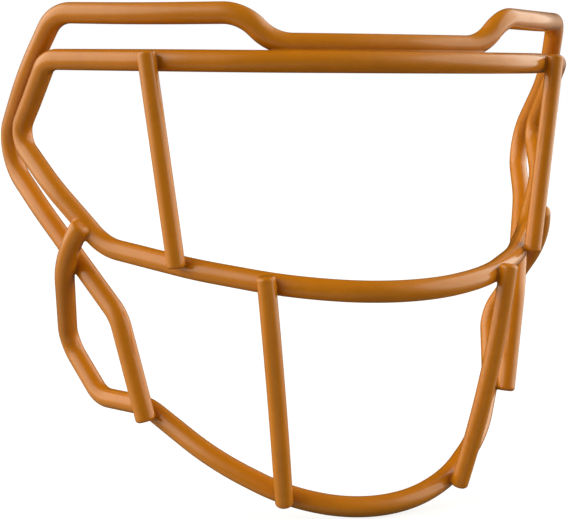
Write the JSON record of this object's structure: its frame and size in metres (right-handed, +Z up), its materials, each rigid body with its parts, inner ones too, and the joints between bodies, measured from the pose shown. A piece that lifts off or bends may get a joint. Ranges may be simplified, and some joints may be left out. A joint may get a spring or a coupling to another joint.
{
  "type": "football helmet facemask",
  "caption": "Welded wire football helmet facemask: an open eye loop under a raised crown bar, a chin bar and slim uprights, in a glossy orange coat.",
  "frame": {"origin": "centre of the mask's bounding box", "axes": "+X to the right as seen from in front, +Y backwards towards the wearer's face, +Z up; the front faces -Y"},
  "size_m": [0.223, 0.1234, 0.1742],
  "materials": {
    "coated_bar": "glossy burnt-orange polymer coat over steel wire",
    "coated_weld": "glossy burnt-orange polymer coat over a steel weld"
  },
  "bodies": {
    "root": {"crown_bar": "coated_bar", "eye_loop_bar": "coated_bar", "chin_bar": "coated_bar", "upper_upright_left": "coated_bar", "upper_upright_right": "coated_bar", "lower_upright_left": "coated_bar", "lower_upright_right": "coated_bar", "brow_seam_weld_left": "coated_weld", "brow_seam_weld_centre": "coated_weld", "brow_seam_weld_right": "coated_weld", "upper_upright_top_weld_left": "coated_weld", "upper_upright_top_weld_right": "coated_weld", "upper_upright_foot_weld_left": "coated_weld", "upper_upright_foot_weld_right": "coated_weld", "lower_upright_top_weld_left": "coated_weld", "lower_upright_top_weld_right": "coated_weld", "lower_upright_foot_weld_left": "coated_weld", "lower_upright_foot_weld_right": "coated_weld", "crown_end_weld_left": "coated_weld", "crown_end_weld_right": "coated_weld", "crown_chin_weld_left": "coated_weld", "crown_chin_weld_right": "coated_weld", "chin_end_weld_left": "coated_weld", "chin_end_weld_right": "coated_weld"}
  },
  "joints": []
}
